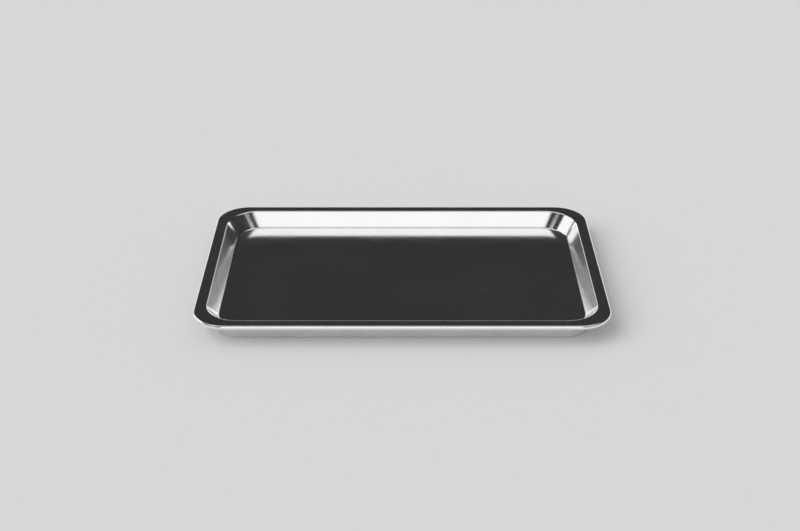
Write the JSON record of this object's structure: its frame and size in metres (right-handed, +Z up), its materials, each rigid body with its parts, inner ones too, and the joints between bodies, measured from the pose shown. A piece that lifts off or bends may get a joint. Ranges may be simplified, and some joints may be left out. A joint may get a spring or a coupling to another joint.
{
  "type": "dental instrument tray",
  "caption": "Flat rectangular steel dental tray with a shallow sloping well, a flat rim and a hemmed edge, double-skinned underneath.",
  "frame": {"origin": "centre of the face that the tray rests on", "axes": "+Z up, X along the tray's length, Y across its width"},
  "size_m": [0.284, 0.183, 0.017],
  "materials": {
    "polished_steel": "mirror-polished stainless steel, lightly scratched by use",
    "satin_steel": "fine satin stainless steel"
  },
  "bodies": {
    "root": {"tray_pan": "polished_steel", "base_shell": "satin_steel"}
  },
  "joints": []
}
